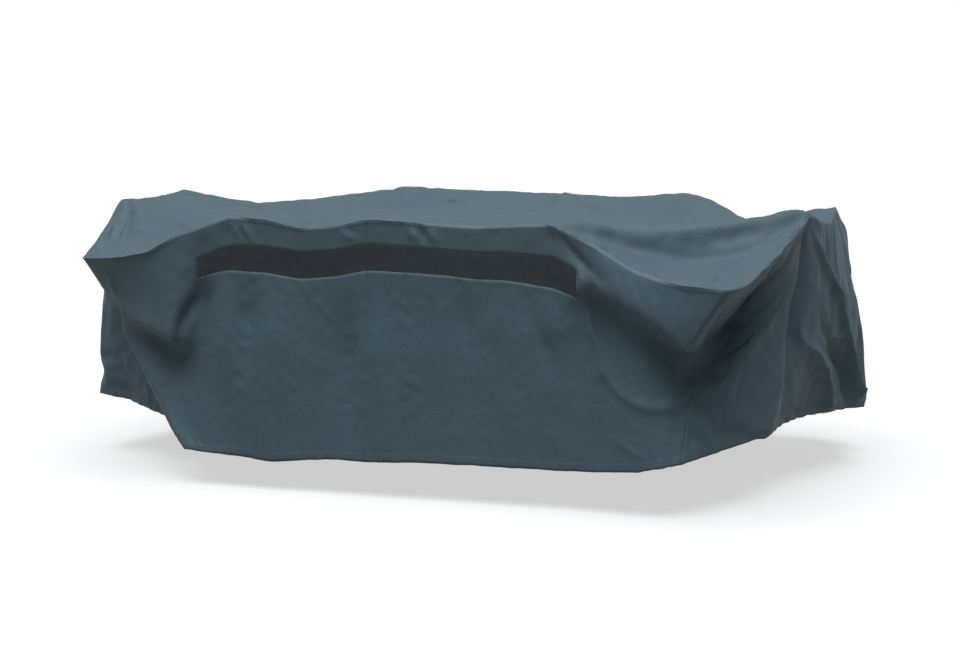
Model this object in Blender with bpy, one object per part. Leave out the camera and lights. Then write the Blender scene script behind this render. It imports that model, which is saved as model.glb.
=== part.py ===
"""Patio furniture cover, draped over the tops of a set of six chairs round a table.

A box-shaped cover of coated cloth: a top panel, a front skirt in two panels with a strip of
vent mesh let into it, a back skirt and two end skirts. The chair backs hold the cloth up at
twelve posts, and at the four corners, where nothing holds it, the cloth hangs in pouches.
All lengths are in metres. Heights in the tables are above the ground; the finished object is
lowered so that the origin lies under the middle of the top panel, where the furniture bears.
"""

import math
from collections import namedtuple

import bmesh
import bpy
import numpy as np

# --- Named sizes ---------------------------------------------------------------------------
CLOTH = 0.002  # thickness of the coated cloth
MESH = 0.001  # thickness of the vent mesh
SEAM_GAP = 0.0010  # space between two pieces that are sewn together, on flat cloth; less at a fold
SAG = 0.025  # how far the top panel sinks in the middle
BEARING_HEIGHT = 0.8285  # underside of the top panel, in the middle, above the ground

# The vent is let into the front skirt: depth of the yoke above it, and its height, along x.
Vent = namedtuple("Vent", "x yoke height")
VENT = (
    Vent(-0.64, 0.104, 0.066),
    Vent(-0.50, 0.092, 0.083),
    Vent(-0.30, 0.080, 0.085),
    Vent(-0.06, 0.078, 0.083),
    Vent(0.23, 0.080, 0.080),
    Vent(0.40, 0.085, 0.085),
    Vent(0.56, 0.103, 0.096),
    Vent(0.64, 0.105, 0.090),
)
# Rows of the skirt: two down the yoke, two down the vent, then these lengths below the vent.
YOKE_ROW, VENT_ROW = 2, 4
FOLD_ROWS = (0.04, 0.08, 0.12, 0.16, 0.21)
LOWER_ROWS = 6  # even rows from there to the hem

# --- Sections of the skirts ----------------------------------------------------------------
# Each row is one section down the cloth. seam is where it joins the top panel, lip the lowest
# point of the pouch, tuck the hollow under it, and hem the bottom edge; each is x, y, height.
Section = namedtuple("Section", "name seam lip tuck hem")

FRONT = (
    Section("left corner", (-1.14, -0.72, 0.734), (-1.10, -0.64, 0.615), (-1.03, -0.52, 0.52), (-0.88, -0.58, 0.165)),
    Section("left fold", (-1.00, -0.77, 0.743), (-1.03, -0.67, 0.575), (-1.035, -0.64, 0.49), (-0.725, -0.785, 0.118)),
    Section("left flap", (-0.86, -0.795, 0.768), (-0.85, -0.755, 0.50), (-0.88, -0.68, 0.47), (-0.66, -0.795, 0.114)),
    Section("flap point", (-0.73, -0.79, 0.832), (-0.745, -0.80, 0.475), (-0.73, -0.735, 0.43), (-0.60, -0.80, 0.112)),
    Section("left valley", (-0.64, -0.785, 0.862), (-0.665, -0.755, 0.60), (-0.665, -0.76, 0.47), (-0.56, -0.80, 0.110)),
    Section("first post", (-0.546, -0.785, 0.891), (-0.555, -0.79, 0.60), (-0.55, -0.80, 0.47), (-0.51, -0.80, 0.107)),
    Section("first rail", (-0.43, -0.785, 0.885), (-0.43, -0.79, 0.60), (-0.42, -0.80, 0.47), (-0.40, -0.805, 0.098)),
    Section("rail dip", (-0.30, -0.78, 0.862), (-0.30, -0.783, 0.60), (-0.30, -0.79, 0.47), (-0.29, -0.80, 0.108)),
    Section("rail end", (-0.17, -0.78, 0.872), (-0.17, -0.783, 0.60), (-0.17, -0.785, 0.47), (-0.17, -0.80, 0.118)),
    Section("panel seam", (-0.062, -0.785, 0.892), (-0.066, -0.79, 0.60), (-0.068, -0.80, 0.47), (-0.07, -0.80, 0.117)),
    Section("third post", (0.086, -0.785, 0.889), (0.086, -0.79, 0.60), (0.086, -0.80, 0.47), (0.09, -0.80, 0.123)),
    Section("second rail", (0.30, -0.78, 0.880), (0.30, -0.785, 0.60), (0.30, -0.79, 0.47), (0.31, -0.80, 0.127)),
    Section("fourth post", (0.555, -0.785, 0.890), (0.575, -0.79, 0.70), (0.58, -0.80, 0.60), (0.58, -0.80, 0.127)),
    Section("pouch start", (0.70, -0.82, 0.838), (0.71, -0.845, 0.72), (0.70, -0.79, 0.65), (0.74, -0.815, 0.134)),
    Section("pouch", (0.86, -0.86, 0.762), (0.87, -0.882, 0.645), (0.85, -0.79, 0.59), (0.86, -0.83, 0.145)),
    Section("pouch fold", (1.01, -0.90, 0.73), (0.98, -0.902, 0.575), (0.955, -0.74, 0.52), (0.93, -0.835, 0.16)),
    Section("right corner", (1.165, -0.93, 0.722), (1.035, -0.885, 0.54), (0.99, -0.68, 0.48), (0.985, -0.81, 0.172)),
)
RIGHT = (
    Section("pouch side", (1.20, -0.81, 0.735), (1.120, -0.80, 0.665), (1.02, -0.60, 0.53), (1.015, -0.775, 0.18)),
    Section("pouch end", (1.245, -0.56, 0.825), (1.235, -0.55, 0.795), (1.06, -0.50, 0.59), (1.04, -0.73, 0.187)),
    Section("near post", (1.255, -0.265, 0.899), (1.205, -0.335, 0.72), (1.12, -0.45, 0.55), (1.075, -0.64, 0.195)),
    Section("end fold", (1.262, -0.15, 0.876), (1.25, -0.19, 0.66), (1.215, -0.28, 0.52), (1.155, -0.46, 0.212)),
    Section("end rail", (1.258, 0.0, 0.862), (1.275, -0.01, 0.62), (1.265, -0.03, 0.49), (1.19, -0.09, 0.222)),
    Section("far post", (1.220, 0.25, 0.896), (1.28, 0.26, 0.60), (1.30, 0.28, 0.47), (1.30, 0.37, 0.20)),
    Section("far pouch end", (1.205, 0.46, 0.79), (1.19, 0.50, 0.68), (1.14, 0.44, 0.57), (1.22, 0.50, 0.195)),
    Section("far pouch side", (1.15, 0.66, 0.725), (1.11, 0.67, 0.62), (1.05, 0.56, 0.52), (1.26, 0.62, 0.205)),
)
LEFT = (
    Section("flap side", (-1.175, -0.57, 0.78), (-1.16, -0.54, 0.64), (-1.05, -0.42, 0.52), (-1.02, -0.47, 0.185)),
    Section("flap end", (-1.218, -0.40, 0.836), (-1.24, -0.40, 0.66), (-1.20, -0.36, 0.50), (-1.17, -0.36, 0.195)),
    Section("near post", (-1.26, -0.25, 0.900), (-1.305, -0.27, 0.58), (-1.32, -0.28, 0.47), (-1.345, -0.27, 0.205)),
    Section("end rail", (-1.28, -0.05, 0.892), (-1.30, -0.05, 0.60), (-1.31, -0.05, 0.47), (-1.33, -0.05, 0.20)),
    Section("rail end", (-1.28, 0.11, 0.895), (-1.295, 0.12, 0.60), (-1.30, 0.12, 0.47), (-1.32, 0.12, 0.20)),
    Section("far post", (-1.27, 0.25, 0.907), (-1.29, 0.27, 0.60), (-1.30, 0.28, 0.47), (-1.32, 0.28, 0.20)),
    Section("far pouch end", (-1.24, 0.50, 0.82), (-1.22, 0.50, 0.70), (-1.12, 0.44, 0.57), (-1.20, 0.50, 0.19)),
    Section("far pouch side", (-1.19, 0.68, 0.76), (-1.13, 0.68, 0.63), (-1.04, 0.56, 0.52), (-1.10, 0.62, 0.17)),
)
BACK = (
    Section("left corner", (-1.12, 0.84, 0.722), (-1.03, 0.84, 0.55), (-0.99, 0.66, 0.49), (-0.98, 0.76, 0.16)),
    Section("left pouch", (-0.84, 0.83, 0.77), (-0.82, 0.86, 0.66), (-0.80, 0.77, 0.59), (-0.80, 0.81, 0.14)),
    Section("first post", (-0.56, 0.775, 0.893), (-0.56, 0.79, 0.68), (-0.56, 0.79, 0.52), (-0.56, 0.80, 0.12)),
    Section("first rail", (-0.30, 0.77, 0.892), (-0.30, 0.785, 0.60), (-0.30, 0.785, 0.47), (-0.30, 0.80, 0.12)),
    Section("middle", (0.0, 0.77, 0.889), (0.0, 0.79, 0.60), (0.0, 0.79, 0.47), (0.0, 0.80, 0.125)),
    Section("second rail", (0.30, 0.77, 0.878), (0.30, 0.785, 0.60), (0.30, 0.785, 0.47), (0.30, 0.80, 0.12)),
    Section("second post", (0.55, 0.77, 0.894), (0.56, 0.79, 0.68), (0.56, 0.79, 0.52), (0.56, 0.80, 0.12)),
    Section("right pouch", (0.84, 0.82, 0.77), (0.82, 0.85, 0.66), (0.80, 0.76, 0.59), (0.80, 0.81, 0.14)),
    Section("right corner", (1.09, 0.82, 0.70), (1.02, 0.83, 0.55), (0.99, 0.66, 0.49), (1.09, 0.79, 0.165)),
)
FRONT_STEPS = 2  # columns between two sections of the front, and so on
END_STEPS = 2
BACK_STEPS = 4

# --- Folds of the top panel ----------------------------------------------------------------
# A soft ridge (rise above 0) or trough (below 0) from one plan point to another.
Fold = namedtuple("Fold", "name x0 y0 x1 y1 rise width")
TOP_FOLDS = (
    Fold("crest over the right pouch", 0.56, -0.76, 1.22, -0.28, 0.035, 0.10),
    Fold("swale beyond it", 0.72, -0.80, 1.22, -0.46, -0.030, 0.11),
    Fold("crest over the left flap", -0.56, -0.76, -1.22, -0.30, 0.020, 0.09),
    Fold("crest over the far right pouch", 0.56, 0.75, 1.12, 0.32, 0.042, 0.10),
    Fold("crest over the far left pouch", -0.60, 0.68, -1.04, 0.39, 0.074, 0.14),
    Fold("line from the first post to the table", -0.55, -0.70, -0.36, -0.30, 0.010, 0.06),
    Fold("line from the fourth post to the table", 0.55, -0.70, 0.34, -0.28, 0.010, 0.06),
)


# --- Curves --------------------------------------------------------------------------------
def smooth_curve(points, closed=False):
    """A function of t, from 0 to the last point's number, that passes softly through points."""
    points = np.asarray(points, float)
    count = len(points)

    def point(index):
        if closed:
            return points[index % count]
        if index < 0:
            return 2 * points[0] - points[1]
        if index >= count:
            return 2 * points[-1] - points[-2]
        return points[index]

    def at(t):
        start = int(math.floor(t))
        if not closed:
            start = min(max(start, 0), count - 2)
        here = t - start
        p0, p1, p2, p3 = (point(start + offset) for offset in (-1, 0, 1, 2))
        k1 = max(np.linalg.norm(p1 - p0), 1e-6) ** 0.5
        k2 = max(np.linalg.norm(p2 - p1), 1e-6) ** 0.5
        k3 = max(np.linalg.norm(p3 - p2), 1e-6) ** 0.5
        leave = ((p1 - p0) / k1 - (p2 - p0) / (k1 + k2) + (p2 - p1) / k2) * k2
        arrive = ((p2 - p1) / k2 - (p3 - p1) / (k2 + k3) + (p3 - p2) / k3) * k2
        square, cube = here * here, here**3
        return (
            (2 * cube - 3 * square + 1) * p1
            + (cube - 2 * square + here) * leave
            + (3 * square - 2 * cube) * p2
            + (cube - square) * arrive
        )

    return at


def by_length(curve, last, lengths, even):
    """Points on the curve at these lengths from its start, then at even steps to its end."""
    fine = np.array([curve(last * i / 160) for i in range(161)])
    walked = np.concatenate([[0], np.cumsum(np.linalg.norm(np.diff(fine, axis=0), axis=1))])
    wanted = list(lengths)
    wanted += [lengths[-1] + (walked[-1] - lengths[-1]) * i / even for i in range(1, even + 1)]
    return np.array([[np.interp(s, walked, fine[:, axis]) for axis in range(3)] for s in wanted])


# --- The skirts, as one closed band --------------------------------------------------------
def stations():
    """(sections in order round the cover, columns after each), counter-clockwise from the front left."""
    ring = list(FRONT) + list(RIGHT) + list(reversed(BACK)) + list(reversed(LEFT))
    steps = [FRONT_STEPS] * (len(FRONT) - 1) + [END_STEPS] * (len(RIGHT) + 1)
    steps += [BACK_STEPS] * (len(BACK) - 1) + [END_STEPS] * (len(LEFT) + 1)
    return ring, steps


def upper_rows(x):
    """Lengths below the top seam of the rows down to the folds, at this place along the cover."""
    places = [vent.x for vent in VENT]
    yoke = float(np.interp(x, places, [vent.yoke for vent in VENT]))
    height = float(np.interp(x, places, [vent.height for vent in VENT]))
    down = [0.0, yoke / 2, yoke, yoke + height / 2, yoke + height]
    return down + [down[-1] + length for length in FOLD_ROWS]


def skirt_band():
    """Points of the skirts, a row for each length below the seam and a column for each station."""
    ring, steps = stations()
    curves = [smooth_curve([getattr(s, part) for s in ring], closed=True) for part in ("seam", "lip", "tuck", "hem")]
    columns = []
    for index, step in enumerate(steps):
        for part in range(step):
            t = index + part / step
            seam, lip, tuck, hem = (curve(t) for curve in curves)
            knee = tuck * 0.45 + hem * 0.55
            columns.append(by_length(smooth_curve([seam, lip, tuck, knee, hem]), 4, upper_rows(seam[0]), LOWER_ROWS))
    return np.array(columns).transpose(1, 0, 2)


# --- The top panel -------------------------------------------------------------------------
def fold_height(x, y):
    height = 0.0
    for fold in TOP_FOLDS:
        run = np.array([fold.x1 - fold.x0, fold.y1 - fold.y0])
        away = np.array([x - fold.x0, y - fold.y0])
        along = float(np.clip(away @ run / (run @ run), 0, 1))
        across = np.linalg.norm(away - along * run)
        height += fold.rise * math.exp(-((across / fold.width) ** 2)) * math.sin(math.pi * (0.12 + 0.76 * along))
    return height


def top_grid(band):
    """Points of the top panel, a row from front to back for each column of the end skirts."""
    wide, deep = front_columns(), end_columns()
    seam = band[0]
    front = seam[: wide + 1]
    right = seam[wide : wide + deep + 1]
    back = seam[wide + deep : 2 * wide + deep + 1][::-1]
    left = np.concatenate([seam[2 * wide + deep :], seam[:1]])[::-1]
    grid = np.zeros((deep + 1, wide + 1, 3))
    for j in range(deep + 1):
        for i in range(wide + 1):
            u, v = i / wide, j / deep
            sides = (1 - v) * front[i] + v * back[i] + (1 - u) * left[j] + u * right[j]
            corners = (1 - u) * (1 - v) * front[0] + u * (1 - v) * front[-1]
            corners += (1 - u) * v * back[0] + u * v * back[-1]
            grid[j, i] = sides - corners
    for j in range(1, deep):
        for i in range(1, wide):
            x, y = grid[j, i, :2]
            gap = np.linalg.norm(seam[:, :2] - (x, y), axis=1)
            weight = 1 / gap**3
            inside = min(1.0, gap.min() / 0.35)
            level = float(weight @ seam[:, 2] / weight.sum())
            grid[j, i, 2] = level + fold_height(x, y) * min(1.0, gap.min() / 0.06) - SAG * inside**2 * (3 - 2 * inside)
    for i in range(wide + 1):
        grid[0, i], grid[deep, i] = front[i], back[i]
    for j in range(deep + 1):
        grid[j, 0], grid[j, wide] = left[j], right[j]
    return grid


def front_columns():
    return FRONT_STEPS * (len(FRONT) - 1)


def end_columns():
    return END_STEPS * (len(RIGHT) + 1)


# --- One sheet for the whole cover, then its pieces ----------------------------------------
class Sheet:
    """The whole cover as numbered points and faces, with a direction out of the cloth at each."""

    def __init__(self):
        band = skirt_band()
        top = top_grid(band)
        self.rows, self.columns = band.shape[:2]
        self.wide, self.deep = front_columns(), end_columns()
        self.points = list(band.reshape(-1, 3))
        self.top_numbers = np.full((self.deep + 1, self.wide + 1), -1)
        for i in range(self.wide + 1):
            self.top_numbers[0, i] = i
            self.top_numbers[self.deep, i] = (2 * self.wide + self.deep - i) % self.columns
        for j in range(self.deep + 1):
            self.top_numbers[j, self.wide] = self.wide + j
            self.top_numbers[j, 0] = (self.columns - j) % self.columns
        for j in range(1, self.deep):
            for i in range(1, self.wide):
                self.top_numbers[j, i] = len(self.points)
                self.points.append(top[j, i])
        self.points = np.array(self.points) - (0, 0, BEARING_HEIGHT)
        self.outward = self.directions()

    def skirt_faces(self, first, last, low=0, high=None):
        """Faces of the skirts between two columns and two rows; rows are counted from the seam."""
        high = self.rows - 1 if high is None else high
        faces = []
        for row in range(low, high):
            for column in range(first, last):
                a, b = column % self.columns, (column + 1) % self.columns
                faces.append(tuple(n + r * self.columns for n, r in ((a, row + 1), (b, row + 1), (b, row), (a, row))))
        return faces

    def top_faces(self):
        n = self.top_numbers
        return [
            (n[j, i], n[j, i + 1], n[j + 1, i + 1], n[j + 1, i]) for j in range(self.deep) for i in range(self.wide)
        ]

    def directions(self):
        faces = np.array(self.skirt_faces(0, self.columns) + self.top_faces())
        corners = self.points[faces]
        normal = np.cross(corners[:, 2] - corners[:, 0], corners[:, 3] - corners[:, 1])
        normal /= np.linalg.norm(normal, axis=1)[:, None]
        total = np.zeros_like(self.points)
        for corner in range(4):
            np.add.at(total, faces[:, corner], normal)
        total /= np.linalg.norm(total, axis=1)[:, None]
        # A fold needs a longer step at its crease to keep the cloth's thickness on both sides.
        flat = np.full(len(self.points), 1.0)
        for corner in range(4):
            np.minimum.at(flat, faces[:, corner], np.sum(total[faces[:, corner]] * normal, axis=1))
        return total / np.clip(flat, 0.62, 1.0)[:, None]


def piece(name, sheet, faces, thickness, material, collection):
    """A closed solid from these faces of the sheet, drawn back a little all round for its seams."""
    used = sorted({n for face in faces for n in face})
    place = {n: i for i, n in enumerate(used)}
    local = [tuple(place[n] for n in face) for face in faces]
    outer = sheet.points[used].copy()
    outward = sheet.outward[used]
    sides = {}
    for face in local:
        for start, end in zip(face, face[1:] + face[:1]):
            sides[(start, end)] = face
    rim = [(a, b) for a, b in sides if (b, a) not in sides]
    inward = np.zeros_like(outer)
    for a, b in rim:
        middle = np.mean([outer[n] for n in sides[(a, b)]], axis=0)
        edge = outer[b] - outer[a]
        away = middle - outer[a]
        away = away - edge * (away @ edge) / (edge @ edge)
        away = away / np.linalg.norm(away)
        inward[a] += away
        inward[b] += away
    for n in range(len(used)):
        size = np.linalg.norm(inward[n])
        if size > 1e-9:
            outer[n] += inward[n] / size * SEAM_GAP * (0.5 if size > 1.6 else 0.7)
    inner = outer - outward * thickness
    mesh = bmesh.new()
    out = [mesh.verts.new(p) for p in outer]
    under = [mesh.verts.new(p) for p in inner]
    for face in local:
        mesh.faces.new([out[n] for n in face])
        mesh.faces.new([under[n] for n in reversed(face)])
    for a, b in rim:
        mesh.faces.new([out[b], out[a], under[a], under[b]])
    bmesh.ops.triangulate(mesh, faces=mesh.faces[:], quad_method="SHORT_EDGE")
    bmesh.ops.recalc_face_normals(mesh, faces=mesh.faces[:])
    data = bpy.data.meshes.new(name)
    mesh.to_mesh(data)
    mesh.free()
    made = bpy.data.objects.new(name, data)
    made.data.materials.append(material)
    collection.objects.link(made)
    return made


def material(name, colour, roughness):
    made = bpy.data.materials.new(name)
    made.use_nodes = True
    shader = next(node for node in made.node_tree.nodes if node.type == "BSDF_PRINCIPLED")
    shader.inputs["Base Color"].default_value = (*colour, 1)
    shader.inputs["Roughness"].default_value = roughness
    made.diffuse_color = (*colour, 1)
    return made


def section_column(name):
    return FRONT_STEPS * next(i for i, s in enumerate(FRONT) if s.name == name)


def build():
    for old in list(bpy.data.objects):
        bpy.data.objects.remove(old)
    collection = bpy.data.collections.new("patio_furniture_cover")
    bpy.context.scene.collection.children.link(collection)
    sheet = Sheet()
    wide, deep, around = sheet.wide, sheet.deep, sheet.columns
    seam = section_column("panel seam")
    vent_left, vent_right = section_column("left valley"), section_column("pouch start") - 1

    def front_panel(first, last, vent_first, vent_last):
        whole = sheet.skirt_faces(first, last)
        window = set(sheet.skirt_faces(vent_first, vent_last, YOKE_ROW, VENT_ROW))
        return [face for face in whole if face not in window]

    green = (0.075, 0.115, 0.125)
    pieces = (
        ("top_panel", sheet.top_faces(), CLOTH, (0.10, 0.15, 0.175), 0.62),
        ("front_skirt_left", front_panel(0, seam, vent_left, seam), CLOTH, green, 0.6),
        ("front_skirt_right", front_panel(seam, wide, seam, vent_right), CLOTH, (0.07, 0.11, 0.12), 0.6),
        ("vent_mesh", sheet.skirt_faces(vent_left, vent_right, YOKE_ROW, VENT_ROW), MESH, (0.02, 0.025, 0.035), 0.8),
        ("end_skirt_right", sheet.skirt_faces(wide, wide + deep), CLOTH, (0.065, 0.10, 0.115), 0.6),
        ("back_skirt", sheet.skirt_faces(wide + deep, 2 * wide + deep), CLOTH, (0.072, 0.11, 0.12), 0.6),
        ("end_skirt_left", sheet.skirt_faces(2 * wide + deep, around), CLOTH, (0.068, 0.105, 0.117), 0.6),
    )
    for name, faces, thickness, colour, roughness in pieces:
        piece(name, sheet, faces, thickness, material(name, colour, roughness), collection)


build()
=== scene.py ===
"""Patio furniture cover: the finished cloth, its vent mesh, the studio and the camera.

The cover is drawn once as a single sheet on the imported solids' folds. Cloth simulation settles
it, its mesh is halved, creases are laid on it, and it is then cut into the maker's panels along
the seams. Lengths are in metres, angles in degrees, and heights in the tables above the ground.
"""

import math
from collections import namedtuple

import bmesh
import bpy
import numpy as np
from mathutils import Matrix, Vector, noise
from mathutils.kdtree import KDTree


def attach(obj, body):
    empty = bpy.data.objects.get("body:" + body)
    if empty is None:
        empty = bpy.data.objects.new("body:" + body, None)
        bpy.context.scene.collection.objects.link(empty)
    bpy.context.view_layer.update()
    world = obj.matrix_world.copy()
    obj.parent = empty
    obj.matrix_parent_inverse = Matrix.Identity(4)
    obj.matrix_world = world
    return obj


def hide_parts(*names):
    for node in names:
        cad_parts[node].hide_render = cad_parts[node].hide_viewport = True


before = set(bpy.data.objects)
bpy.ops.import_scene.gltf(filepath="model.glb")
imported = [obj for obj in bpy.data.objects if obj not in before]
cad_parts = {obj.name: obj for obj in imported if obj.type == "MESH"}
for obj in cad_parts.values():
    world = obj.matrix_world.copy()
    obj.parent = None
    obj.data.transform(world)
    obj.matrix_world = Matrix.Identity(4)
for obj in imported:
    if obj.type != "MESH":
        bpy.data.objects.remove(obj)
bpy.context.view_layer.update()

# --- Sizes -----------------------------------------------------------------------------------
BEARING_HEIGHT = 0.8285  # underside of the top panel, in the middle, above the ground
FLOOR = -BEARING_HEIGHT
CLOTH = 0.0012  # thickness of the coated cloth
SAG = 0.025  # how far the top panel sinks in the middle
STRAND = 0.00085  # width of a strand of the vent mesh

# --- How finely the sheet is drawn -----------------------------------------------------------
PITCH = 0.020  # between two columns before the sheet is settled and halved
BAND_STEPS = 4  # rows down the yoke, and again down the vent
LOWER_ROWS = 30  # rows from the vent to the hem
PROFILE_STEPS = 120  # straight pieces by which the length down the cloth is measured
RING_STEPS = 40  # the same for each section that is passed on the way round
CRISP = 0.65  # how angular the folds are between the sections
KNEE = (0.45, 0.55)  # parts of the tuck and of the hem in the point drawn between them
SEWN = 0.7  # how sharp the top seam stays when the mesh is halved

def table(kind, *rows):
    """Rows whose values have the names of that kind's columns."""
    return tuple(kind(*row) for row in rows)


# The vent is let into the front skirt: depth of the yoke above it, and its height, along x.
Vent = namedtuple("Vent", "x yoke height")
VENT = table(
    Vent,
    (-0.64, 0.104, 0.066),
    (-0.5, 0.092, 0.083),
    (-0.3, 0.08, 0.085),
    (-0.06, 0.078, 0.083),
    (0.23, 0.08, 0.08),
    (0.4, 0.085, 0.085),
    (0.56, 0.103, 0.096),
    (0.64, 0.105, 0.09),
)

# Sections down the cloth: seam is where it joins the top panel, lip the lowest point of the
# pouch, tuck the hollow under it, and hem the bottom edge; each is x, y, height.
Section = namedtuple("Section", "name seam lip tuck hem")
FRONT = table(
    Section,
    ("left corner", (-1.14, -0.72, 0.734), (-1.1, -0.64, 0.615),
     (-1.03, -0.52, 0.52), (-0.88, -0.58, 0.165)),
    ("left fold", (-1, -0.77, 0.743), (-1.03, -0.67, 0.575),
     (-1.035, -0.64, 0.49), (-0.725, -0.785, 0.118)),
    ("left flap", (-0.86, -0.795, 0.768), (-0.85, -0.755, 0.5),
     (-0.88, -0.68, 0.47), (-0.66, -0.795, 0.114)),
    ("flap point", (-0.73, -0.79, 0.832), (-0.745, -0.8, 0.475),
     (-0.73, -0.735, 0.43), (-0.6, -0.8, 0.112)),
    ("left valley", (-0.64, -0.785, 0.862), (-0.665, -0.755, 0.6),
     (-0.665, -0.76, 0.47), (-0.56, -0.8, 0.11)),
    ("first post", (-0.546, -0.785, 0.891), (-0.555, -0.79, 0.6),
     (-0.55, -0.8, 0.47), (-0.51, -0.8, 0.107)),
    ("first rail", (-0.43, -0.785, 0.885), (-0.43, -0.79, 0.6),
     (-0.42, -0.8, 0.47), (-0.4, -0.805, 0.098)),
    ("rail dip", (-0.3, -0.78, 0.862), (-0.3, -0.783, 0.6),
     (-0.3, -0.79, 0.47), (-0.29, -0.8, 0.108)),
    ("rail end", (-0.17, -0.78, 0.872), (-0.17, -0.783, 0.6),
     (-0.17, -0.785, 0.47), (-0.17, -0.8, 0.118)),
    ("panel seam", (-0.062, -0.785, 0.892), (-0.066, -0.79, 0.6),
     (-0.068, -0.8, 0.47), (-0.07, -0.8, 0.117)),
    ("third post", (0.086, -0.785, 0.889), (0.086, -0.79, 0.6),
     (0.086, -0.8, 0.47), (0.09, -0.8, 0.123)),
    ("second rail", (0.3, -0.78, 0.88), (0.3, -0.785, 0.6),
     (0.3, -0.79, 0.47), (0.31, -0.8, 0.127)),
    ("fourth post", (0.555, -0.785, 0.89), (0.575, -0.79, 0.7),
     (0.58, -0.8, 0.6), (0.58, -0.8, 0.127)),
    ("pouch start", (0.7, -0.82, 0.838), (0.71, -0.845, 0.72),
     (0.7, -0.79, 0.65), (0.74, -0.815, 0.134)),
    ("pouch", (0.86, -0.86, 0.762), (0.87, -0.882, 0.645),
     (0.85, -0.79, 0.59), (0.86, -0.83, 0.145)),
    ("pouch fold", (1.01, -0.9, 0.73), (0.98, -0.902, 0.575),
     (0.955, -0.74, 0.52), (0.93, -0.835, 0.16)),
    ("right corner", (1.165, -0.93, 0.722), (1.035, -0.885, 0.54),
     (0.99, -0.68, 0.48), (0.985, -0.81, 0.172)),
)
RIGHT = table(
    Section,
    ("pouch side", (1.2, -0.81, 0.735), (1.12, -0.8, 0.665),
     (1.02, -0.6, 0.53), (1.015, -0.775, 0.18)),
    ("pouch end", (1.245, -0.56, 0.825), (1.235, -0.55, 0.795),
     (1.06, -0.5, 0.59), (1.04, -0.73, 0.187)),
    ("near post", (1.255, -0.265, 0.899), (1.205, -0.335, 0.72),
     (1.12, -0.45, 0.55), (1.075, -0.64, 0.195)),
    ("end fold", (1.262, -0.15, 0.876), (1.25, -0.19, 0.66),
     (1.215, -0.28, 0.52), (1.155, -0.46, 0.212)),
    ("end rail", (1.258, 0, 0.862), (1.275, -0.01, 0.62),
     (1.265, -0.03, 0.49), (1.19, -0.09, 0.222)),
    ("far post", (1.22, 0.25, 0.896), (1.28, 0.26, 0.6),
     (1.3, 0.28, 0.47), (1.3, 0.37, 0.2)),
    ("far pouch end", (1.205, 0.46, 0.79), (1.19, 0.5, 0.68),
     (1.14, 0.44, 0.57), (1.22, 0.5, 0.195)),
    ("far pouch side", (1.15, 0.66, 0.725), (1.11, 0.67, 0.62),
     (1.05, 0.56, 0.52), (1.26, 0.62, 0.205)),
)
LEFT = table(
    Section,
    ("flap side", (-1.175, -0.57, 0.78), (-1.16, -0.54, 0.64),
     (-1.05, -0.42, 0.52), (-1.02, -0.47, 0.185)),
    ("flap end", (-1.218, -0.4, 0.836), (-1.24, -0.4, 0.66),
     (-1.2, -0.36, 0.5), (-1.17, -0.36, 0.195)),
    ("near post", (-1.26, -0.25, 0.9), (-1.305, -0.27, 0.58),
     (-1.32, -0.28, 0.47), (-1.345, -0.27, 0.205)),
    ("end rail", (-1.28, -0.05, 0.892), (-1.3, -0.05, 0.6),
     (-1.31, -0.05, 0.47), (-1.33, -0.05, 0.2)),
    ("rail end", (-1.28, 0.11, 0.895), (-1.295, 0.12, 0.6),
     (-1.3, 0.12, 0.47), (-1.32, 0.12, 0.2)),
    ("far post", (-1.27, 0.25, 0.907), (-1.29, 0.27, 0.6),
     (-1.3, 0.28, 0.47), (-1.32, 0.28, 0.2)),
    ("far pouch end", (-1.24, 0.5, 0.82), (-1.22, 0.5, 0.7),
     (-1.12, 0.44, 0.57), (-1.2, 0.5, 0.19)),
    ("far pouch side", (-1.19, 0.68, 0.76), (-1.13, 0.68, 0.63),
     (-1.04, 0.56, 0.52), (-1.1, 0.62, 0.17)),
)
BACK = table(
    Section,
    ("left corner", (-1.12, 0.84, 0.722), (-1.03, 0.84, 0.55),
     (-0.99, 0.66, 0.49), (-0.98, 0.76, 0.16)),
    ("left pouch", (-0.84, 0.83, 0.77), (-0.82, 0.86, 0.66),
     (-0.8, 0.77, 0.59), (-0.8, 0.81, 0.14)),
    ("first post", (-0.56, 0.775, 0.893), (-0.56, 0.79, 0.68),
     (-0.56, 0.79, 0.52), (-0.56, 0.8, 0.12)),
    ("first rail", (-0.3, 0.77, 0.892), (-0.3, 0.785, 0.6),
     (-0.3, 0.785, 0.47), (-0.3, 0.8, 0.12)),
    ("middle", (0, 0.77, 0.889), (0, 0.79, 0.6),
     (0, 0.79, 0.47), (0, 0.8, 0.125)),
    ("second rail", (0.3, 0.77, 0.878), (0.3, 0.785, 0.6),
     (0.3, 0.785, 0.47), (0.3, 0.8, 0.12)),
    ("second post", (0.55, 0.77, 0.894), (0.56, 0.79, 0.68),
     (0.56, 0.79, 0.52), (0.56, 0.8, 0.12)),
    ("right pouch", (0.84, 0.82, 0.77), (0.82, 0.85, 0.66),
     (0.8, 0.76, 0.59), (0.8, 0.81, 0.14)),
    ("right corner", (1.09, 0.82, 0.7), (1.02, 0.83, 0.55),
     (0.99, 0.66, 0.49), (1.09, 0.79, 0.165)),
)

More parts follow.
